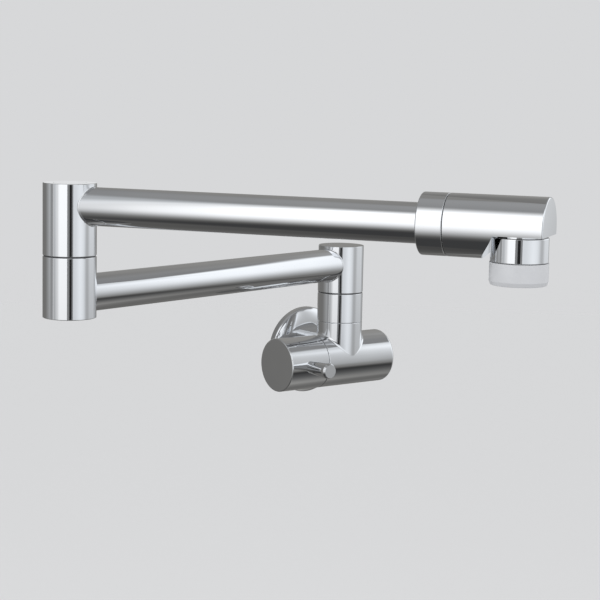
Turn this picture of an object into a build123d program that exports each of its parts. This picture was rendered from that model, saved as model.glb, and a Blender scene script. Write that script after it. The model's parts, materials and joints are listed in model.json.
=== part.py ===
"""Wall mounted pot filler: a quarter-turn valve on the wall carries two tubular arms that swivel
about upright pivots, and the outer arm ends in a spout head with a spray and stream outlet.

Millimetres. The origin lies on the wall plane at the centre of the wall flange. +X runs along the
wall to the right as one faces it, +Y runs into the wall and +Z is up. The arms stand as the
photograph shows them, which is the zero of every joint.
"""

from build123d import *
import os

os.makedirs("parts", exist_ok=True)

# ---------------------------------------------------------------- driving dimensions
# clearances
fit = 0.03  # radial, between pieces that are screwed or pressed together
run = 0.05  # radial, between a shaft and the bore that turns on it
face_gap = 0.06  # along an axis, between faces that slide on each other
past = 1.0  # how far a cutting tool runs past the face that it opens

# wall side
wall_to_axis = 48.3  # wall plane to the valve's horizontal axis
neck_offset = 7.5  # the neck enters the barrel this far right of the upright pivot
stub_offset = 2.0  # the upright pivots stand this much further out than the barrel's axis
flange_d = 60.6
flange_depth = 8.2
flange_side = 4.2  # upright side of the flange, below its domed shoulder
flange_shoulder = 12.0  # width of the domed shoulder
flange_wall = 1.5
flange_lip_round = 0.5
flange_ring_thick = 0.75
neck_d = 26.0
neck_setback = 2.5  # the neck stops this far short of the wall plane
inlet_thread_d = 20.955  # G 1/2 parallel pipe thread, over its crests
inlet_length = 14.0  # thread that stands out of the wall plane
inlet_engaged = 13.5  # thread inside the neck
inlet_relief_d = 18.6  # turned down between the two threads
inlet_bore_d = 14.5
inlet_key = 16.3  # hexagon for the fitting key, over its corners
inlet_key_depth = 7.0
seal_thick = 1.4
strainer_thick = 0.6
strainer_hole_d = 1.8
strainer_rings = ((6, 2.9), (12, 5.6))  # holes in each ring and its radius

# valve barrel
barrel_d = 36.0
barrel_left = 20.0  # pivot axis to the seam with the handle
barrel_right = 36.9  # pivot axis to the closed end
barrel_round = 2.0
body_fillet = 1.0
stub_fillet = 2.0
edge_round = 0.4
seat_right = 5.5  # cartridge seat, right of the pivot axis
inlet_chamber_end = 25.5
inlet_chamber_d = 13.0
crossway_d = 8.0
crossway_lap = 1.0  # the cross way laps the bores that it joins
crossway_wall = 1.2  # left between the cross way and the cartridge's seat

# quarter-turn cartridge
cartridge_thread_d = 20.8
cartridge_hex = 23.0  # across flats
cartridge_hex_thick = 3.0
cartridge_gland_d = 15.0
cartridge_gland_length = 2.5
cartridge_slim_d = 18.8
cartridge_cavity_d = 16.2
cartridge_thread_length = 10.5
window_length = 5.0
window_width = 7.0
window_setback = 0.5  # thread's end to the windows
disc_d = 16.0
disc_thick = 3.0
disc_port_d = 4.6
disc_port_radius = 4.6
tongue_width = 3.0
tongue_depth = 1.2
tongue_length = 13.8
seat_seal_thick = 1.8
seat_seal_bore_d = 12.4
spindle_d = 9.0
spindle_square = 6.4
spindle_square_length = 7.0
driver_d = 14.8
driver_thick = 3.0

# handle
handle_seam = 0.4
handle_length = 31.3
handle_wall = 2.6
handle_face = 3.2
handle_round = 0.8
handle_boss_d = 17.0
handle_cavity = 6.5  # depth of the hollow behind the seam
lever_reach = 38.5  # valve axis to the lever's end face
lever_base_d = 8.2
lever_end_d = 10.4
lever_face_d = 8.8
lever_bevel = 1.5
lever_thread_d = 6.0
lever_thread_tip = 5.5  # valve axis to the tip of the lever's thread
spotface_depth = 0.7
grub_d = 4.0
grub_length = 5.0
grub_socket = 2.0

# upright pivots and the hubs that turn on them
joint_d = 30.8
stub_top = 27.1  # top of the valve's upright stub, above the valve axis
collar_height = 19.7
washer_thick = 0.5
washer_inset = 0.5
pivot_d = 14.0
pivot_bore_d = 9.4
pivot_flange_d = 22.0
pivot_flange_thick = 2.8
pivot_engaged = 10.0
pivot_run_out = 1.0  # thread left free below the pivot's foot
bearing_length = 9.6
pivot_rise = 12.4  # pivot flange to the pivot's free end
ring_groove_depth = 1.2
ring_groove_width = 1.6
first_ring = 2.9  # pivot flange to the middle of the lower seal
ring_pitch = 3.4
clip_thick = 1.0
clip_reach = 1.7
clip_opening = 4.0
hub_bore_d = 18.0
hub_cap_d = 19.0
hub_cap_thick = 2.4
hub_floor = 2.8
cavity_lap = 1.5  # the pivot's thread stands this far into the lower elbow hub
stub_bore_d = 10.0

# arms
tube_d = 22.0
tube_wall = 1.2
tube_seat = 9.8  # hub axis to the end of the tube inside its socket
port_d = 14.5
braze_round = 0.6
braze_land = 0.08  # the boss round the socket stands this much proud of the tube
lower_arm_z = 66.2
lower_arm_length = 250.0
lower_arm_angle = 12.7  # off the wall, as photographed
upper_arm_z = 117.6
upper_arm_length = 262.0
upper_arm_angle = 57.7  # off the wall, as photographed
hub_cover = 13.0  # arm axis to the near end of its hub
elbow_seam = 88.7

# spout head, placed from the outlet's axis
head_d = 33.5
head_back = 37.8
head_front = 15.6
head_seam = 0.3
head_round = 0.7
sleeve_length = 14.4
sleeve_grub_setback = 1.0  # the sleeve's set screw ends this far inside its surface
flat_drop = 3.6  # arm axis to the flat above the outlet
relief_r = 19.7  # the head is cut away this far round the outlet's axis
head_thread_d = 19.0
head_thread_length = 13.0
socket_run_out = 1.0  # socket left free beyond the adapter's thread
head_flange_d = 25.0
head_flange_thick = 2.5
adapter_bore_d = 14.0
adapter_plug_length = 14.0
head_way_d = 10.0
head_way_rise = 4.0
outlet_thread_d = 23.6
outlet_thread_length = 8.0
outlet_way_d = 12.0

# spray and stream outlet
housing_d = 30.4
housing_drop = 17.6  # arm axis to the housing's lower rim
housing_gap = 0.9  # shadow gap under the head's flat
housing_skirt_d = 26.0
housing_seal_thick = 1.5
screen_thick = 0.6
screen_hole_d = 2.0
screen_rings = ((6, 2.4), (12, 5.0))
diverter_lip = 1.0
diverter_neck_d = 20.0
diverter_neck_length = 2.6
diverter_hook_d = 22.6
diverter_hook_thick = 1.6
diverter_way_d = 4.5
diverter_way_radius = 4.5
selector_d = 31.0
selector_length = 11.8
selector_gap = 0.25
selector_taper = 0.8
selector_taper_length = 2.2
selector_round = 0.6
nozzle_d = 27.0
nozzle_thick = 2.4
nozzle_recess = 0.6
nozzle_stream_d = 7.0
jet_d = 1.1
jet_rings = ((12, 6.5), (20, 10.3))

# ---------------------------------------------------------------- derived sizes
barrel_r = barrel_d / 2
joint_r = joint_d / 2
tube_r = tube_d / 2
pivot_r = pivot_d / 2
inlet_r = inlet_thread_d / 2
neck_r = neck_d / 2
head_r = head_d / 2
collar_top = stub_top + collar_height
handle_right = -barrel_left - handle_seam
handle_left = handle_right - handle_length
lever_x = (handle_left + handle_right) / 2
elbow_bottom = lower_arm_z - hub_cover
elbow_top = upper_arm_z + hub_cover
riser_top = lower_arm_z + hub_cover
ring_groove_r = pivot_r - ring_groove_depth
ring_major = (ring_groove_r + pivot_r + run) / 2
ring_minor = (pivot_r + run - ring_groove_r) / 2 - run / 2
clip_groove_r = pivot_r - ring_groove_depth / 2

# ---------------------------------------------------------------- helpers
BASE = (Align.CENTER, Align.CENTER, Align.MIN)
FORWARD = (Align.MIN, Align.CENTER, Align.MIN)
ALONG_X = Rot(0, 90, 0)
TO_WALL = Rot(-90, 0, 0)
TO_ROOM = Rot(90, 0, 0)
VALVE = Pos(-neck_offset, -wall_to_axis, 0)
STUB = Pos(0, -stub_offset, 0)
RISER = VALVE * STUB
LOWER_ARM = RISER * Rot(0, 0, 180 + lower_arm_angle)
ELBOW = LOWER_ARM * Pos(lower_arm_length, 0, 0) * Rot(0, 0, -180 - lower_arm_angle)
UPPER_ARM = ELBOW * Rot(0, 0, -upper_arm_angle)
OUTLET = UPPER_ARM * Pos(upper_arm_length, 0, upper_arm_z)


def bar(radius, low, high, low_round=0.0, high_round=0.0):
    """A round bar on Z from low to high, its rims rounded where a radius is given."""
    solid = Pos(0, 0, low) * Cylinder(radius, high - low, align=BASE)
    if low_round:
        solid = fillet(solid.edges().filter_by(GeomType.CIRCLE).sort_by(Axis.Z)[0], low_round)
    if high_round:
        solid = fillet(solid.edges().filter_by(GeomType.CIRCLE).sort_by(Axis.Z)[-1], high_round)
    return solid


def ring(outer, inner, low, high):
    """A plain ring on Z."""
    return bar(outer, low, high) - bar(inner, low - past, high + past)


def rod(start, end, radius):
    """A round bar from one point to another."""
    run_of_rod = Vector(*end) - Vector(*start)
    return Plane(origin=start, z_dir=run_of_rod) * Cylinder(radius, run_of_rod.length, align=BASE)


def turned(*outline):
    """A solid of revolution about Z from its (radius, height) outline."""
    profile = Polyline(*[(radius, 0, height) for radius, height in outline], close=True)
    return revolve(make_face(profile), Axis.Z)


def perforated(solid, rings, hole_d, low, high):
    """The solid with rings of holes about Z, each ring given as (count, radius)."""
    for count, radius in rings:
        for step in range(count):
            hole = Pos(radius, 0, 0) * bar(hole_d / 2, low - past, high + past)
            solid -= Rot(0, 0, 360 * step / count) * hole
    return solid


# ---------------------------------------------------------------- wall side
def domed(radius, depth):
    """A round blank on Z whose upright side turns over a domed shoulder into a flat face."""
    foot = Line((0, 0), (radius, 0))
    side = Line(foot @ 1, (radius, flange_side))
    middle = (radius - flange_shoulder, flange_side)
    shoulder = EllipticalCenterArc(middle, flange_shoulder, depth - flange_side, 0, arc_size=90)
    face = Polyline(shoulder @ 1, (0, depth), (0, 0))
    profile = make_face(foot + side + shoulder + face)
    return revolve(Rot(90, 0, 0) * profile, Axis.Z)


def wall_flange():
    """Deep-drawn cover: a shell with its hollow towards the wall."""
    shell = domed(flange_d / 2, flange_depth)
    shell = fillet(shell.edges().filter_by(GeomType.CIRCLE).sort_by(Axis.Z)[0], flange_lip_round)
    shell -= domed(flange_d / 2 - flange_wall, flange_depth - flange_wall)
    shell -= bar(neck_r + fit, -past, flange_depth + past)
    return TO_ROOM * shell


def inlet_parts():
    """Threaded nipple, its rubber washer and the strainer between them, inside the neck."""
    tip = -inlet_length
    root = inlet_engaged + neck_setback
    bore_r = inlet_bore_d / 2
    nipple = bar(inlet_r, tip, root, edge_round, edge_round)
    nipple -= bar(bore_r, tip - past, root + past)
    nipple -= ring(inlet_r + past, inlet_relief_d / 2, 0, neck_setback)
    nipple -= extrude(Pos(0, 0, tip) * RegularPolygon(inlet_key / 2, 6), inlet_key_depth)
    top = root + strainer_thick
    strainer = perforated(bar(inlet_r - fit, root, top), strainer_rings, strainer_hole_d, root, top)
    washer = ring(inlet_r - fit, bore_r, top, top + seal_thick)
    return TO_ROOM * nipple, TO_ROOM * strainer, TO_ROOM * washer


def flange_ring():
    """Rubber ring that holds the flange on the neck."""
    middle = flange_depth - flange_wall / 2
    return TO_ROOM * Pos(0, 0, middle) * Torus(neck_r - flange_ring_thick / 2, flange_ring_thick / 2)


# ---------------------------------------------------------------- valve
def valve_body():
    """Cast body: barrel, neck to the wall and upright stub, with its waterways."""
    barrel = ALONG_X * bar(barrel_r, -barrel_left, barrel_right, edge_round, barrel_round)
    stub = STUB * bar(joint_r, 0, stub_top, 0, edge_round)
    to_neck = Pos(neck_offset, 0, 0) * TO_WALL
    neck = to_neck * bar(neck_r, 0, wall_to_axis - neck_setback)
    outside = barrel + stub
    outside = fillet(new_edges(barrel, stub, combined=outside), stub_fillet)
    before = outside
    outside = before + neck
    outside = fillet(new_edges(before, neck, combined=outside), body_fillet)
    # cartridge chamber, its seat and the inlet chamber beyond it
    chamber_r = cartridge_thread_d / 2 + fit
    outside -= ALONG_X * bar(chamber_r, -barrel_left - past, seat_right)
    outside -= ALONG_X * bar(inlet_chamber_d / 2, 0, inlet_chamber_end)
    # inlet: thread, washer seat and the cross way beside the cartridge's seat
    thread_end = wall_to_axis - neck_setback - inlet_engaged - strainer_thick - seal_thick
    inlet_end = barrel_r + crossway_lap
    outside -= to_neck * bar(inlet_r + fit, thread_end, wall_to_axis)
    outside -= to_neck * bar(inlet_bore_d / 2, inlet_end, wall_to_axis)
    way_x = seat_right + crossway_wall + crossway_d / 2
    outside -= Pos(way_x, 0, 0) * (TO_WALL * bar(crossway_d / 2, 0, inlet_end + crossway_lap))
    # outlet up the stub
    outside -= STUB * bar(stub_bore_d / 2, 0, stub_top)
    thread_foot = stub_top - pivot_engaged - pivot_run_out
    outside -= STUB * bar(pivot_r + fit, thread_foot, stub_top + past)
    # groove for the flange's rubber ring
    groove_middle = wall_to_axis - flange_depth + flange_wall / 2
    groove_r = flange_ring_thick / 2
    outside -= to_neck * Pos(0, 0, groove_middle) * Torus(neck_r - groove_r, groove_r + fit)
    return VALVE * outside


def cartridge_body():
    """Screwed-in brass headwork with its hexagon, spindle gland and side windows."""
    left = -barrel_left
    thread_end = left + cartridge_thread_length
    cage_end = seat_right - seat_seal_thick
    solid = bar(cartridge_thread_d / 2, left, thread_end)
    solid += bar(cartridge_slim_d / 2, left, cage_end)
    hexagon = RegularPolygon(cartridge_hex / 2, 6, major_radius=False)
    solid += extrude(Pos(0, 0, left - cartridge_hex_thick) * hexagon, cartridge_hex_thick)
    gland_left = left - cartridge_hex_thick - cartridge_gland_length
    solid += bar(cartridge_gland_d / 2, gland_left, left)
    solid -= bar(spindle_d / 2 + run, gland_left - past, cage_end)
    solid -= bar(cartridge_cavity_d / 2, driver_left() - face_gap, cage_end + past)
    window = Box(window_width, cartridge_thread_d, window_length, align=BASE)
    solid -= Pos(0, 0, thread_end + window_setback) * window
    return VALVE * (ALONG_X * solid)


def disc_faces():
    """Left faces of the fixed disc and of the turning disc, along X."""
    fixed_left = seat_right - seat_seal_thick - disc_thick
    return fixed_left, fixed_left - face_gap - disc_thick


def driver_left():
    """Left face of the spindle's driving plate, along X."""
    return disc_faces()[1] - face_gap - driver_thick


def ported_disc(left):
    """Ceramic disc with two opposite ports."""
    disc = bar(disc_d / 2, left, left + disc_thick)
    return perforated(disc, [(2, disc_port_radius)], disc_port_d, left, left + disc_thick)


def cartridge_discs():
    """The fixed disc, and the turning disc with the slot that the spindle drives."""
    fixed_left, turning_left = disc_faces()
    turning = ported_disc(turning_left)
    slot_width = tongue_width + 2 * run
    slot = Box(slot_width, disc_d + past, 2 * (tongue_depth + face_gap))
    return (
        VALVE * (ALONG_X * ported_disc(fixed_left)),
        VALVE * (ALONG_X * (turning - Pos(0, 0, turning_left) * slot)),
    )


def cartridge_seal():
    """Rubber seat ring between the cartridge and the body."""
    washer = ring(cartridge_slim_d / 2, seat_seal_bore_d / 2, seat_right - seat_seal_thick, seat_right)
    return VALVE * (ALONG_X * washer)


def spindle():
    """Brass spindle: driving plate with its tongue, round shaft with a seal groove, square end."""
    left = driver_left()
    shaft_end = -barrel_left - cartridge_hex_thick - cartridge_gland_length
    solid = bar(driver_d / 2, left, left + driver_thick)
    tongue = Box(tongue_width, tongue_length, tongue_depth, align=BASE)
    solid += Pos(0, 0, left + driver_thick) * tongue
    solid = perforated(solid, [(2, disc_port_radius)], disc_port_d, left, left + driver_thick)
    solid += bar(spindle_d / 2, shaft_end, left)
    square = Box(spindle_square, spindle_square, spindle_square_length, align=BASE)
    solid += Pos(0, 0, shaft_end - spindle_square_length) * square
    solid -= spindle_groove()
    return VALVE * (ALONG_X * solid)


def spindle_groove_middle():
    """Middle of the spindle's seal groove, along X."""
    return -barrel_left + cartridge_thread_length / 3


def spindle_groove():
    """The spindle's seal groove as a ring to cut away."""
    middle = spindle_groove_middle()
    low = middle - ring_groove_width / 2
    high = middle + ring_groove_width / 2
    return ring(spindle_d, spindle_d / 2 - ring_groove_depth, low, high)


def spindle_seal():
    """Rubber ring in the spindle's groove."""
    inner = spindle_d / 2 - ring_groove_depth
    outer = spindle_d / 2 + run
    minor = (outer - inner) / 2 - run / 2
    seal = Pos(0, 0, spindle_groove_middle()) * Torus((inner + outer) / 2, minor)
    return VALVE * (ALONG_X * seal)


# ---------------------------------------------------------------- handle
def handle_cap():
    """Turning end of the barrel: a deep cap with a square-holed boss for the spindle."""
    cap = bar(barrel_r, handle_left, handle_right, handle_round, edge_round)
    inner_r = barrel_r - handle_wall
    cavity_left = handle_right - handle_cavity
    cap -= bar(inner_r, cavity_left, handle_right + past)
    pocket = bar(inner_r, handle_left + handle_face, cavity_left + past)
    cap -= pocket - bar(handle_boss_d / 2, handle_left, cavity_left)
    square_left = -barrel_left - cartridge_hex_thick - cartridge_gland_length - spindle_square_length
    socket = spindle_square + 2 * fit
    cap -= Pos(0, 0, square_left - face_gap) * Box(socket, socket, handle_length, align=BASE)
    cap = ALONG_X * cap
    # lever: threaded hole into the boss and a flat seat in the barrel's wall
    cap -= Pos(lever_x, 0, 0) * (TO_ROOM * bar(lever_thread_d / 2 + fit, lever_thread_tip, barrel_r))
    seat = barrel_r - spotface_depth
    cap -= Pos(lever_x, 0, 0) * (TO_ROOM * bar(lever_base_d / 2 + run, seat, barrel_r + past))
    # grub screw, from below into the square
    cap -= rod((grub_x(), 0, 0), (grub_x(), 0, -barrel_r - past), grub_d / 2 + fit)
    return VALVE * cap


def grub_x():
    """The grub screw's place along X, over the middle of the spindle's square end."""
    square_right = -barrel_left - cartridge_hex_thick - cartridge_gland_length
    return square_right - spindle_square_length / 2


def handle_lever():
    """Tapered pin with a bevelled end, screwed into the cap."""
    seat = barrel_r - spotface_depth
    pin = turned(
        (0, lever_thread_tip),
        (lever_thread_d / 2, lever_thread_tip),
        (lever_thread_d / 2, seat),
        (lever_base_d / 2, seat),
        (lever_end_d / 2, lever_reach - lever_bevel),
        (lever_face_d / 2, lever_reach),
        (0, lever_reach),
    )
    return VALVE * (Pos(lever_x, 0, 0) * (TO_ROOM * pin))


def handle_grub_screw():
    """Set screw that locks the cap on the spindle."""
    return VALVE * (Pos(grub_x(), 0, 0) * set_screw(-spindle_square / 2, grub_length))


def set_screw(top, length):
    """Socket set screw on Z, its key's hexagon below."""
    screw = bar(grub_d / 2, top - length, top)
    socket = RegularPolygon(grub_socket / 2, 6, major_radius=False)
    return screw - extrude(Pos(0, 0, top - length) * socket, length / 2)


# ---------------------------------------------------------------- pivots
def pivot(seat, shank):
    """Hollow turned pivot: threaded shank, flange, two seal grooves and a clip groove."""
    foot = seat - pivot_flange_thick - shank
    solid = bar(pivot_r, foot, seat + pivot_rise)
    solid += bar(pivot_flange_d / 2, seat - pivot_flange_thick, seat)
    solid -= bar(pivot_bore_d / 2, foot - past, seat + pivot_rise + past)
    for middle in ring_middles(seat):
        low = middle - ring_groove_width / 2
        solid -= ring(pivot_r + past, ring_groove_r, low, low + ring_groove_width)
    low = clip_low(seat)
    return solid - ring(pivot_r + past, clip_groove_r, low - face_gap, low + clip_thick + face_gap)


def ring_middles(seat):
    """Heights of the two seals on a pivot."""
    return [seat + first_ring, seat + first_ring + ring_pitch]


def clip_low(seat):
    """Underside of the retaining clip, just above the shoulder in the hub."""
    return hub_low(seat) + bearing_length + 2 * face_gap


def hub_low(seat):
    """Underside of the hub that turns on a pivot."""
    return seat + washer_thick + face_gap


def pivot_rings(seat):
    """The pair of rubber rings on a pivot."""
    return Compound([Pos(0, 0, middle) * Torus(ring_major, ring_minor) for middle in ring_middles(seat)])


def pivot_washer(seat):
    """Slippery washer that shows as the dark line of the seam."""
    return ring(joint_r - washer_inset, pivot_r + fit, seat, seat + washer_thick)


def pivot_clip(seat):
    """Open spring ring that keeps the hub on its pivot."""
    low = clip_low(seat)
    clip = ring(pivot_r + clip_reach, clip_groove_r + fit, low, low + clip_thick)
    return clip - Pos(-pivot_r, 0, low + clip_thick / 2) * Box(pivot_d, clip_opening, 2 * clip_thick)


def riser_collar():
    """Ring that the riser's pivot clamps on the stub."""
    collar = bar(joint_r, stub_top, collar_top, edge_round, edge_round)
    collar -= bar(pivot_r + fit, stub_top - past, collar_top + past)
    return collar - bar(pivot_flange_d / 2 + fit, collar_top - pivot_flange_thick, collar_top + past)


# ---------------------------------------------------------------- hubs and tubes
def hub_outside(low, high, arm_z):
    """Turned hub with the brazed fillet round the tube's socket. The arm runs along +X."""
    body = bar(joint_r, low, high, edge_round, edge_round)
    reach = joint_r + 2 * braze_round
    boss = rod((0, 0, arm_z), (reach, 0, arm_z), tube_r + braze_land)
    solid = body + boss
    solid = fillet(new_edges(body, boss, combined=solid), braze_round)
    solid &= bar(joint_r + braze_round + braze_land, low - past, high + past)
    solid -= rod((tube_seat, 0, arm_z), (reach + past, 0, arm_z), tube_r + fit / 2)
    return solid - rod((0, 0, arm_z), (tube_seat + past, 0, arm_z), port_d / 2)


def swivel_hub(seat, high, arm_z):
    """Hub that turns on a pivot: bearing bore below, hollow and cap seat above."""
    low = hub_low(seat)
    solid = hub_outside(low, high, arm_z)
    solid -= bar(pivot_r + run, low - past, high)
    solid -= bar(hub_bore_d / 2, low + bearing_length, high + past)
    return solid - bar(hub_cap_d / 2 + fit, high - hub_cap_thick, high + past)


def hub_cap(high):
    """Flush plug that closes a hub."""
    return bar(hub_cap_d / 2, high - hub_cap_thick, high, 0, edge_round / 2)


def elbow_lower_hub():
    """Lower half of the elbow: closed below, with the pivot screwed in from above."""
    solid = hub_outside(elbow_bottom, elbow_seam, lower_arm_z)
    thread_foot = elbow_seam - pivot_flange_thick - pivot_engaged
    solid -= bar(hub_bore_d / 2, elbow_bottom + hub_floor, thread_foot + cavity_lap)
    solid -= bar(pivot_r + fit, thread_foot, elbow_seam + past)
    return solid - bar(pivot_flange_d / 2 + fit, elbow_seam - pivot_flange_thick, elbow_seam + past)


def arm_tube(start, end, arm_z):
    """Drawn tube along +X."""
    outer = rod((start, 0, arm_z), (end, 0, arm_z), tube_r)
    return outer - rod((start - past, 0, arm_z), (end + past, 0, arm_z), tube_r - tube_wall)


# ---------------------------------------------------------------- spout, with the outlet's axis on Z
sleeve_right = -head_back - head_seam
adapter_seat = -head_back


def spout_sleeve():
    """Trim ring round the end of the tube."""
    sleeve = ALONG_X * bar(head_r, sleeve_right - sleeve_length, sleeve_right, head_round, edge_round)
    bore = bar(tube_r + fit, sleeve_right - sleeve_length - past, sleeve_right + past)
    grub_hole = bar(grub_d / 2 + fit, -head_r - past, -tube_r)
    return sleeve - ALONG_X * bore - Pos(sleeve_grub_x(), 0, 0) * grub_hole


def spout_adapter():
    """Brass insert: plug inside the tube, flange and the thread that takes the head."""
    plug = bar(tube_r - tube_wall - fit, adapter_seat - adapter_plug_length, adapter_seat)
    flange = bar(head_flange_d / 2, adapter_seat, adapter_seat + head_flange_thick)
    thread = bar(head_thread_d / 2, adapter_seat, adapter_seat + head_thread_length)
    solid = plug + flange + thread
    thread_end = adapter_seat + head_thread_length
    way = bar(adapter_bore_d / 2, adapter_seat - adapter_plug_length - past, thread_end + past)
    return ALONG_X * (solid - way)


def adapter_ring():
    """Rubber ring that seals the adapter in the head."""
    middle = (head_thread_d / 2 + fit + head_flange_d / 2) / 2
    seat = adapter_seat + head_flange_thick + ring_minor
    return ALONG_X * Pos(0, 0, seat) * Torus(middle, ring_minor)


def spout_head():
    """Head: a round bar cut away beneath, round the outlet, with a nipple for the outlet's thread."""
    head = ALONG_X * bar(head_r, -head_back, head_front, edge_round, head_round)
    deep = head_r + past
    front = Pos(0, 0, -deep) * Box(deep, 2 * deep, deep - flat_drop, align=FORWARD)
    head -= bar(relief_r, -deep, -flat_drop) + front
    nipple_foot = -flat_drop - outlet_thread_length
    head += bar(outlet_thread_d / 2, nipple_foot, 0)
    # waterways: adapter socket, the high way over the flat and the way down the nipple
    flange_seat = adapter_seat + head_flange_thick + 2 * ring_minor
    head -= ALONG_X * bar(head_flange_d / 2 + fit, -head_back - past, flange_seat)
    socket_end = adapter_seat + head_thread_length + socket_run_out
    head -= ALONG_X * bar(head_thread_d / 2 + fit, -head_back, socket_end)
    high_way = bar(head_way_d / 2, socket_end - past, outlet_way_d / 2)
    head -= Pos(0, 0, head_way_rise) * (ALONG_X * high_way)
    return head - bar(outlet_way_d / 2, nipple_foot - past, head_way_rise)


def sleeve_grub_x():
    """The sleeve's set screw lies at its middle."""
    return sleeve_right - sleeve_length / 2


def sleeve_grub_screw():
    """Set screw under the sleeve, which locks it on the tube."""
    return Pos(sleeve_grub_x(), 0, 0) * set_screw(-tube_r - fit, head_r - tube_r - sleeve_grub_setback)


housing_top = -flat_drop - housing_gap
skirt_top = -flat_drop - outlet_thread_length - housing_seal_thick
selector_top = -housing_drop - selector_gap
selector_foot = selector_top - selector_length
selector_lip_foot = -housing_drop - diverter_neck_length + face_gap


def outlet_housing():
    """Bright cup screwed on the head's nipple."""
    cup = bar(housing_d / 2, -housing_drop, housing_top, edge_round, head_round)
    cup -= bar(outlet_thread_d / 2 + fit, -housing_drop - past, housing_top + past)
    return cup - bar(housing_skirt_d / 2, -housing_drop - past, skirt_top)


def housing_seal():
    """Flat rubber washer under the nipple."""
    return ring(outlet_thread_d / 2 - fit, outlet_way_d / 2, skirt_top, skirt_top + housing_seal_thick)


def outlet_screen():
    """Perforated screen under the washer."""
    low = skirt_top - screen_thick
    screen = bar(housing_skirt_d / 2 - fit, low, skirt_top)
    return perforated(screen, screen_rings, screen_hole_d, low, skirt_top)


def diverter():
    """Fixed plastic core: a plug in the housing and the hook that the selector turns on."""
    top = skirt_top - screen_thick
    plug_foot = -housing_drop + diverter_lip
    hook_top = -housing_drop - diverter_neck_length
    hook_foot = hook_top - diverter_hook_thick
    solid = bar(housing_skirt_d / 2 - fit, plug_foot, top)
    solid += bar(diverter_neck_d / 2, hook_top, plug_foot)
    solid += bar(diverter_hook_d / 2, hook_foot, hook_top)
    return perforated(solid, [(2, diverter_way_radius)], diverter_way_d, hook_foot, top)


def selector_ring():
    """Grey grip ring that turns to change from spray to stream."""
    outer = selector_d / 2
    low_r = outer - selector_taper
    grip = turned(
        (0, selector_top),
        (outer, selector_top),
        (outer, selector_foot + selector_taper_length),
        (low_r, selector_foot),
        (0, selector_foot),
    )
    rim = grip.edges().filter_by(GeomType.CIRCLE).sort_by(Axis.Z)[0]
    grip = fillet(rim, selector_round)
    grip -= bar(diverter_neck_d / 2 + 2 * run, selector_foot - past, selector_top + past)
    return grip - bar(nozzle_d / 2, selector_foot - past, selector_lip_foot)


def nozzle_plate():
    """Spray face: rings of fine jets round the stream's outlet, carried by the selector."""
    low = selector_foot + nozzle_recess
    high = low + nozzle_thick
    rim_r = nozzle_d / 2 - fit
    plate = bar(rim_r, low, high)
    plate += ring(rim_r, diverter_hook_d / 2 + 2 * run, low, selector_lip_foot)
    plate -= bar(nozzle_stream_d / 2, low - past, high + past)
    return perforated(plate, jet_rings, jet_d, low, high)


# ---------------------------------------------------------------- assembly
elbow_shank = pivot_engaged
riser_shank = collar_height - pivot_flange_thick + pivot_engaged
nipple, strainer, inlet_washer = inlet_parts()
fixed_disc, turning_disc = cartridge_discs()
upper_tube_end = upper_arm_length - head_back

parts = {
    "valve_body": valve_body(),
    "wall_flange": wall_flange(),
    "flange_ring": flange_ring(),
    "inlet_nipple": nipple,
    "inlet_strainer": strainer,
    "inlet_washer": inlet_washer,
    "cartridge_body": cartridge_body(),
    "cartridge_fixed_disc": fixed_disc,
    "cartridge_turning_disc": turning_disc,
    "cartridge_seal": cartridge_seal(),
    "spindle": spindle(),
    "spindle_seal": spindle_seal(),
    "handle_cap": handle_cap(),
    "handle_lever": handle_lever(),
    "handle_grub_screw": handle_grub_screw(),
    "riser_collar": RISER * riser_collar(),
    "riser_pivot": RISER * pivot(collar_top, riser_shank),
    "riser_seals": RISER * pivot_rings(collar_top),
    "riser_washer": RISER * pivot_washer(collar_top),
    "riser_clip": RISER * pivot_clip(collar_top),
    "riser_hub": LOWER_ARM * swivel_hub(collar_top, riser_top, lower_arm_z),
    "riser_cap": LOWER_ARM * hub_cap(riser_top),
    "lower_tube": LOWER_ARM * arm_tube(tube_seat, lower_arm_length - tube_seat, lower_arm_z),
    "elbow_lower_hub": ELBOW * Rot(0, 0, lower_arm_angle) * elbow_lower_hub(),
    "elbow_pivot": ELBOW * pivot(elbow_seam, elbow_shank),
    "elbow_seals": ELBOW * pivot_rings(elbow_seam),
    "elbow_washer": ELBOW * pivot_washer(elbow_seam),
    "elbow_clip": ELBOW * pivot_clip(elbow_seam),
    "elbow_upper_hub": UPPER_ARM * swivel_hub(elbow_seam, elbow_top, upper_arm_z),
    "elbow_cap": UPPER_ARM * hub_cap(elbow_top),
    "upper_tube": UPPER_ARM * arm_tube(tube_seat, upper_tube_end, upper_arm_z),
    "spout_sleeve": OUTLET * spout_sleeve(),
    "sleeve_grub_screw": OUTLET * sleeve_grub_screw(),
    "spout_adapter": OUTLET * spout_adapter(),
    "adapter_seal": OUTLET * adapter_ring(),
    "spout_head": OUTLET * spout_head(),
    "outlet_housing": OUTLET * outlet_housing(),
    "housing_seal": OUTLET * housing_seal(),
    "outlet_screen": OUTLET * outlet_screen(),
    "diverter": OUTLET * diverter(),
    "selector_ring": OUTLET * selector_ring(),
    "nozzle_plate": OUTLET * nozzle_plate(),
}

for name, solid in parts.items():
    export_step(solid, f"parts/{name}.step")

elbow_point = ELBOW.position
outlet_point = OUTLET.position
print("elbow axis", round(elbow_point.X, 3), round(elbow_point.Y, 3))
print("outlet axis", round(outlet_point.X, 3), round(outlet_point.Y, 3), round(outlet_point.Z, 3))
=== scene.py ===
"""Looks of the wall mounted pot filler: finishes, studio and camera. Metres, in the part's own frame."""

import json
import math

import bpy
from mathutils import Matrix, Vector

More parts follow.
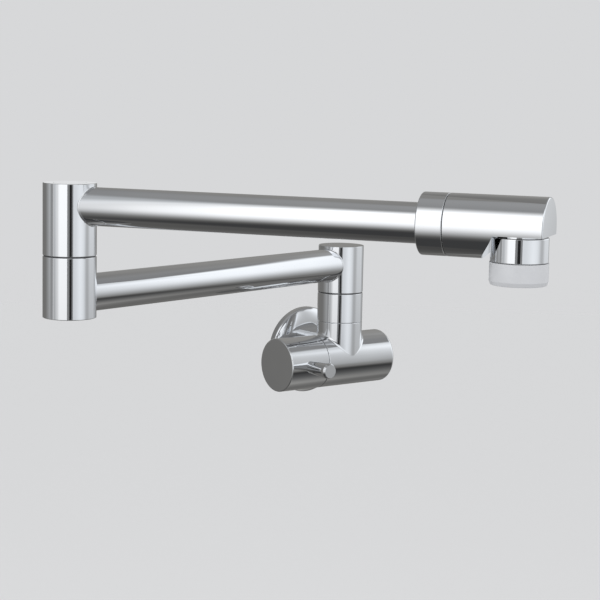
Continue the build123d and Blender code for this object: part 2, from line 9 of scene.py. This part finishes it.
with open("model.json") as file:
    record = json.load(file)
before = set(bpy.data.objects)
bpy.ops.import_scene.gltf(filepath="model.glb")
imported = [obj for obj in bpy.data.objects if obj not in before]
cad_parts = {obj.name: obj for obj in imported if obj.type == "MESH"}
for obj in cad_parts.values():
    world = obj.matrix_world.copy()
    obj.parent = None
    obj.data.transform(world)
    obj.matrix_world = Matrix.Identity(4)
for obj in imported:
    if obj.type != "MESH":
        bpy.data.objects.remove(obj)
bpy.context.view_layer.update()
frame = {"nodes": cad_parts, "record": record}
scene = bpy.context.scene
record = frame["record"]

# ---------------------------------------------------------------- camera
# Fitted to the part's edges as they are seen from there, then rounded.
CAMERA_PLACE = Vector((-0.7495, -0.9699, 0.1953))
CAMERA_AZIMUTH = 37.57  # degrees to the left of square on to the wall
CAMERA_PITCH = 7.46  # degrees down
CAMERA_ROLL = 1.16  # degrees
LENS = 104.2  # millimetres
SENSOR = 36.0  # millimetres
NEAREST_SEEN = 0.01


def make_camera():
    """Camera at the angle from which the part is seen."""
    data = bpy.data.cameras.new("camera")
    data.lens = LENS
    data.sensor_width = SENSOR
    data.clip_start = NEAREST_SEEN
    camera = bpy.data.objects.new("camera", data)
    scene.collection.objects.link(camera)
    turn = Matrix.Rotation(math.radians(-CAMERA_AZIMUTH), 4, "Z")
    tip = Matrix.Rotation(math.radians(90 - CAMERA_PITCH), 4, "X")
    roll = Matrix.Rotation(math.radians(CAMERA_ROLL), 4, "Z")
    camera.matrix_world = Matrix.Translation(CAMERA_PLACE) @ turn @ tip @ roll
    scene.camera = camera


# ---------------------------------------------------------------- node helpers
NOISE_LOW = 0.3  # most values of a noise texture lie between these two
NOISE_HIGH = 0.7


def new_material(name):
    """An empty material with its nodes, links and output."""
    material = bpy.data.materials.new(name)
    material.use_nodes = True
    nodes = material.node_tree.nodes
    nodes.clear()
    output = nodes.new("ShaderNodeOutputMaterial")
    return material, nodes, material.node_tree.links, output


def noise(nodes, links, scale, detail, place):
    """Value of a noise texture over the object's own coordinates, scale in features per metre."""
    texture = nodes.new("ShaderNodeTexNoise")
    texture.inputs["Scale"].default_value = scale
    texture.inputs["Detail"].default_value = detail
    links.new(place, texture.inputs["Vector"])
    return texture.outputs["Fac"]


def spread(nodes, links, value, low, high, start=NOISE_LOW, end=NOISE_HIGH):
    """Maps a value from start..end to low..high."""
    node = nodes.new("ShaderNodeMapRange")
    node.inputs["From Min"].default_value = start
    node.inputs["From Max"].default_value = end
    node.inputs["To Min"].default_value = low
    node.inputs["To Max"].default_value = high
    links.new(value, node.inputs["Value"])
    return node.outputs["Result"]


# ---------------------------------------------------------------- finishes
CLOUD_DETAIL = 3.0  # slow change of colour
WIPE_DETAIL = 4.0  # change of roughness, as where a cloth went over it
GRAIN_DETAIL = 2.0  # fine bump


def finish_material(name, look):
    """A finish from its look: base colours, roughness range and the scales of its marks."""
    material, nodes, links, output = new_material(name)
    shader = nodes.new("ShaderNodeBsdfPrincipled")
    links.new(shader.outputs["BSDF"], output.inputs["Surface"])
    place = nodes.new("ShaderNodeTexCoord").outputs["Object"]
    shader.inputs["Metallic"].default_value = look["metallic"]
    cloud = noise(nodes, links, look["cloud_scale"], CLOUD_DETAIL, place)
    mix = nodes.new("ShaderNodeMix")
    mix.data_type = "RGBA"
    mix.inputs["A"].default_value = (*look["dark"], 1)
    mix.inputs["B"].default_value = (*look["light"], 1)
    links.new(spread(nodes, links, cloud, 0, 1), mix.inputs["Factor"])
    links.new(mix.outputs["Result"], shader.inputs["Base Color"])
    wipe = noise(nodes, links, look["wipe_scale"], WIPE_DETAIL, place)
    links.new(spread(nodes, links, wipe, *look["roughness"]), shader.inputs["Roughness"])
    grain = noise(nodes, links, look["grain_scale"], GRAIN_DETAIL, place)
    bump = nodes.new("ShaderNodeBump")
    bump.inputs["Strength"].default_value = look["bump"]
    bump.inputs["Distance"].default_value = look["bump_depth"]
    links.new(grain, bump.inputs["Height"])
    links.new(bump.outputs["Normal"], shader.inputs["Normal"])
    return material


# Colours are linear, scales are features per metre and the bump's depth is in metres.
LOOKS = {
    "chrome_plate": {
        "metallic": 1.0, "dark": (0.80, 0.81, 0.83), "light": (0.86, 0.87, 0.885),
        "roughness": (0.025, 0.055), "cloud_scale": 14, "wipe_scale": 55, "grain_scale": 700,
        "bump": 0.03, "bump_depth": 0.00002,
    },
    "brass": {
        "metallic": 1.0, "dark": (0.62, 0.44, 0.20), "light": (0.74, 0.56, 0.29),
        "roughness": (0.22, 0.36), "cloud_scale": 60, "wipe_scale": 240, "grain_scale": 1800,
        "bump": 0.15, "bump_depth": 0.00003,
    },
    "seal_rubber": {
        "metallic": 0.0, "dark": (0.018, 0.018, 0.019), "light": (0.032, 0.032, 0.033),
        "roughness": (0.5, 0.65), "cloud_scale": 90, "wipe_scale": 300, "grain_scale": 2500,
        "bump": 0.2, "bump_depth": 0.00004,
    },
    "stainless_steel": {
        "metallic": 1.0, "dark": (0.54, 0.54, 0.53), "light": (0.64, 0.64, 0.63),
        "roughness": (0.2, 0.34), "cloud_scale": 80, "wipe_scale": 300, "grain_scale": 2200,
        "bump": 0.12, "bump_depth": 0.00003,
    },
    "slip_plastic": {
        "metallic": 0.0, "dark": (0.035, 0.035, 0.038), "light": (0.05, 0.05, 0.054),
        "roughness": (0.4, 0.5), "cloud_scale": 90, "wipe_scale": 260, "grain_scale": 2400,
        "bump": 0.15, "bump_depth": 0.00003,
    },
    "disc_ceramic": {
        "metallic": 0.0, "dark": (0.78, 0.77, 0.73), "light": (0.86, 0.85, 0.82),
        "roughness": (0.12, 0.2), "cloud_scale": 70, "wipe_scale": 300, "grain_scale": 3000,
        "bump": 0.06, "bump_depth": 0.00002,
    },
    "grey_plastic": {
        "metallic": 0.0, "dark": (0.50, 0.51, 0.53), "light": (0.56, 0.57, 0.59),
        "roughness": (0.3, 0.42), "cloud_scale": 40, "wipe_scale": 180, "grain_scale": 2600,
        "bump": 0.12, "bump_depth": 0.00003,
    },
    "core_plastic": {
        "metallic": 0.0, "dark": (0.72, 0.72, 0.70), "light": (0.80, 0.80, 0.78),
        "roughness": (0.35, 0.5), "cloud_scale": 50, "wipe_scale": 200, "grain_scale": 2400,
        "bump": 0.12, "bump_depth": 0.00003,
    },
}


def dress():
    """Every node gets the finish of its slot in the record."""
    finishes = {slot: finish_material(slot + "_finish", look) for slot, look in LOOKS.items()}
    for subpart in record["subparts"]:
        mesh = frame["nodes"][subpart["node"]].data
        for index in range(len(mesh.materials)):
            mesh.materials[index] = finishes[subpart["material_slot"]]


# ---------------------------------------------------------------- studio
PALE = (0.68, 0.685, 0.695)  # background, as the camera sees it
WORLD_LEVEL = 0.9
FLOOR_PAINT = (0.745, 0.75, 0.76)
FLOOR_ROUGHNESS = 0.9
FLOOR_SHINE = 0.1
FLOOR_Z = -1.25
FLOOR_RADIUS = 14.0
FLOOR_SIDES = 128
FLOOR_FADE = (4.0, 12.0)  # the floor melts into the background between these distances
STUDIO_CENTRE = Vector((-0.1175, -0.18, 0.05))
TENT_RADIUS = 1.0
TENT_STEP = 1.0  # degrees between the tent's grid lines

COOL = (0.94, 0.97, 1.0)
PLAIN = (0.98, 0.99, 1.0)
WARM = (1.0, 0.985, 0.95)

# Panels of the light tent in the order in which they hang over each other. Sides are degrees left (-)
# and right of the camera, heights are degrees below (-) and above the horizon, each with the width
# of its soft edge inside it. A level is given for the panel's foot and for its top. All were fitted to
# the reflections in the part as seen from the camera, then rounded to 5 degrees and 0.05.
PANELS = (
    # name, left, soft, right, soft, foot, soft, top, soft, level at foot, level at top, tint
    ("ceiling", -180, 0, 180, 45, 15, 30, 90, 0, 0.20, 0.35, PLAIN),
    ("floor_left", -180, 0, 60, 20, -90, 0, 5, 0, 0.05, 0.20, WARM),
    ("floor_right", 40, 20, 180, 45, -65, 0, -30, 0, 0.40, 0.10, WARM),
    ("back_right", 130, 15, 180, 0, -60, 20, 60, 45, 0.10, 0.40, WARM),
    ("back_left", -180, 0, -135, 35, -30, 45, 80, 5, 0.30, 0.25, WARM),
    ("back_glow", -175, 5, -155, 5, 0, 5, 15, 5, 0.80, 0.80, PLAIN),
    ("left_glow", -115, 45, -50, 5, -25, 40, 60, 10, 0.90, 0.45, COOL),
    ("left_softbox", -65, 25, -5, 0, -40, 45, 65, 25, 1.00, 1.60, PLAIN),
    ("front_softbox", -5, 0, 100, 40, -20, 10, 60, 15, 0.65, 1.35, COOL),
    ("front_core", 15, 35, 80, 35, -35, 35, 10, 15, 0.90, 1.05, COOL),
    ("right_softbox", 75, 30, 145, 10, -30, 45, 40, 5, 1.00, 1.20, COOL),
    ("right_strip", 90, 5, 110, 0, 25, 15, 45, 5, 1.00, 0.70, COOL),
    ("back_softbox", 140, 5, 170, 35, -40, 5, 40, 10, 0.50, 0.65, COOL),
    ("right_skirt", 70, 10, 130, 40, -55, 0, -20, 10, 0.15, 0.00, PLAIN),
    ("floor_shadow", -90, 25, -5, 20, -90, 5, -30, 20, 0.05, 0.05, PLAIN),
)
TENT_BASE = 0.20  # level where no panel hangs

# Upright cards that hang inside the tent. Each stands square on to a direction from the centre, and its
# edges are metres left (-) and right of that direction and below (-) and above the centre.
CARDS = (
    # name, side, distance, left, right, foot, top, level
    ("left_card", -75, 0.75, -0.08, 0.06, -0.45, 0.35, 0.30),
    ("left_veil", -75, 0.75, 0.06, 0.11, -0.45, 0.35, 0.60),
    ("camera_card", 0, 0.75, -0.19, 0.14, -0.90, 0.75, 0.25),
    ("camera_stand", 0, 0.74, -0.07, 0.06, -0.20, 0.10, 0.02),
)

LAMP_DISTANCE = 1.8
LAMP_SIZE = 1.4
LAMPS = (
    # name, degrees right of the camera, degrees above the horizon, watts
    ("lamp_left", -40, 45, 12),
    ("lamp_right", 60, 35, 8),
    ("lamp_back", 170, 50, 6),
)


def direction(right, up):
    """Direction that lies so many degrees right of the camera and above the horizon."""
    azimuth, elevation = math.radians(right - CAMERA_AZIMUTH), math.radians(up)
    flat = math.cos(elevation)
    return Vector((math.sin(azimuth) * flat, -math.cos(azimuth) * flat, math.sin(elevation)))


def rise(value, start, width):
    """0 below start, 1 from start + width on, smooth between."""
    if not width:
        return 1.0 if value >= start else 0.0
    share = min(1.0, max(0.0, (value - start) / width))
    return share * share * (3 - 2 * share)


def tent_light(across, up):
    """Light of the tent in one direction: its panels laid over each other."""
    light = Vector(WARM) * TENT_BASE
    for _, left, left_soft, right, right_soft, foot, foot_soft, top, top_soft, low, high, tint in PANELS:
        cover = rise(across, left, left_soft) * rise(-across, -right, right_soft)
        cover *= rise(up, foot, foot_soft) * rise(-up, -top, top_soft)
        height = (up - foot) / (top - foot)
        light = light.lerp(Vector(tint) * (low + (high - low) * height), cover)
    return light


def glowing_material(name):
    """A material that gives light, with its nodes, links and emission node."""
    material, nodes, links, output = new_material(name)
    glow = nodes.new("ShaderNodeEmission")
    links.new(glow.outputs["Emission"], output.inputs["Surface"])
    return material, nodes, links, glow


def hang(mesh, material):
    """Adds a mesh to the studio that is seen only in the part's reflections."""
    mesh.materials.append(material)
    piece = bpy.data.objects.new(mesh.name, mesh)
    scene.collection.objects.link(piece)
    piece.visible_camera = False
    piece.visible_diffuse = False
    piece.visible_shadow = False


def make_tent():
    """Light tent round the part."""
    columns, rows = round(360 / TENT_STEP), round(180 / TENT_STEP)
    points, lights = [], []
    for row in range(rows + 1):
        for column in range(columns + 1):
            across, up = -180 + column * TENT_STEP, -90 + row * TENT_STEP
            points.append(STUDIO_CENTRE + TENT_RADIUS * direction(across, up))
            lights.extend((*tent_light(across, up), 1.0))
    faces = []
    for row in range(rows):
        for column in range(columns):
            corner = row * (columns + 1) + column
            faces.append((corner, corner + 1, corner + columns + 2, corner + columns + 1))
    mesh = bpy.data.meshes.new("light_tent")
    mesh.from_pydata(points, [], faces)
    attribute = mesh.color_attributes.new("light", "FLOAT_COLOR", "POINT")
    attribute.data.foreach_set("color", lights)
    material, nodes, links, glow = glowing_material("tent_cloth")
    light = nodes.new("ShaderNodeVertexColor")
    light.layer_name = attribute.name
    links.new(light.outputs["Color"], glow.inputs["Color"])
    hang(mesh, material)


def make_cards():
    """Cards that give the dark lines on the upright cylinders."""
    upright = Vector((0, 0, 1))
    for name, side, distance, left, right, foot, top, level in CARDS:
        middle = STUDIO_CENTRE + distance * direction(side, 0)
        across = direction(side + 90, 0)
        edges = ((left, foot), (right, foot), (right, top), (left, top))
        corners = [middle + x * across + z * upright for x, z in edges]
        mesh = bpy.data.meshes.new(name)
        mesh.from_pydata(corners, [], [(0, 1, 2, 3)])
        material, _, _, glow = glowing_material(name)
        glow.inputs["Color"].default_value = (*(Vector(PLAIN) * level), 1)
        hang(mesh, material)


def make_floor():
    """Pale floor that melts into the background."""
    material, nodes, links, output = new_material("floor_paint")
    shader = nodes.new("ShaderNodeBsdfPrincipled")
    shader.inputs["Base Color"].default_value = (*FLOOR_PAINT, 1)
    shader.inputs["Roughness"].default_value = FLOOR_ROUGHNESS
    shader.inputs["Specular IOR Level"].default_value = FLOOR_SHINE
    clear = nodes.new("ShaderNodeBsdfTransparent")
    length = nodes.new("ShaderNodeVectorMath")
    length.operation = "LENGTH"
    links.new(nodes.new("ShaderNodeTexCoord").outputs["Object"], length.inputs[0])
    fade = spread(nodes, links, length.outputs["Value"], 0, 1, *FLOOR_FADE)
    mix = nodes.new("ShaderNodeMixShader")
    links.new(fade, mix.inputs["Fac"])
    links.new(shader.outputs["BSDF"], mix.inputs[1])
    links.new(clear.outputs["BSDF"], mix.inputs[2])
    links.new(mix.outputs["Shader"], output.inputs["Surface"])
    bpy.ops.mesh.primitive_circle_add(
        vertices=FLOOR_SIDES, radius=FLOOR_RADIUS, fill_type="NGON", location=(0, 0, FLOOR_Z)
    )
    floor = bpy.context.object
    floor.name = "floor"
    floor.data.materials.append(material)


def make_lamps():
    """Soft lamps that light what isn't metal, and show in no reflection."""
    for name, across, up, power in LAMPS:
        data = bpy.data.lights.new(name, "AREA")
        data.shape = "DISK"
        data.size = LAMP_SIZE
        data.energy = power
        lamp = bpy.data.objects.new(name, data)
        scene.collection.objects.link(lamp)
        lamp.location = STUDIO_CENTRE + LAMP_DISTANCE * direction(across, up)
        lamp.rotation_mode = "QUATERNION"
        lamp.rotation_quaternion = direction(across, up).to_track_quat("Z", "Y")
        lamp.visible_glossy = False
        lamp.visible_camera = False


def make_world():
    """Even light, and the pale background that the camera sees."""
    world = bpy.data.worlds.new("studio")
    scene.world = world
    world.use_nodes = True
    nodes, links = world.node_tree.nodes, world.node_tree.links
    even = nodes["Background"]
    even.inputs["Color"].default_value = (1, 1, 1, 1)
    even.inputs["Strength"].default_value = WORLD_LEVEL
    seen = nodes.new("ShaderNodeBackground")
    seen.inputs["Color"].default_value = (*PALE, 1)
    rays = nodes.new("ShaderNodeLightPath")
    mix = nodes.new("ShaderNodeMixShader")
    links.new(rays.outputs["Is Camera Ray"], mix.inputs["Fac"])
    links.new(even.outputs["Background"], mix.inputs[1])
    links.new(seen.outputs["Background"], mix.inputs[2])
    links.new(mix.outputs["Shader"], nodes["World Output"].inputs["Surface"])


make_camera()
dress()
make_world()
make_floor()
make_tent()
make_cards()
make_lamps()
scene.view_settings.view_transform = "Standard"
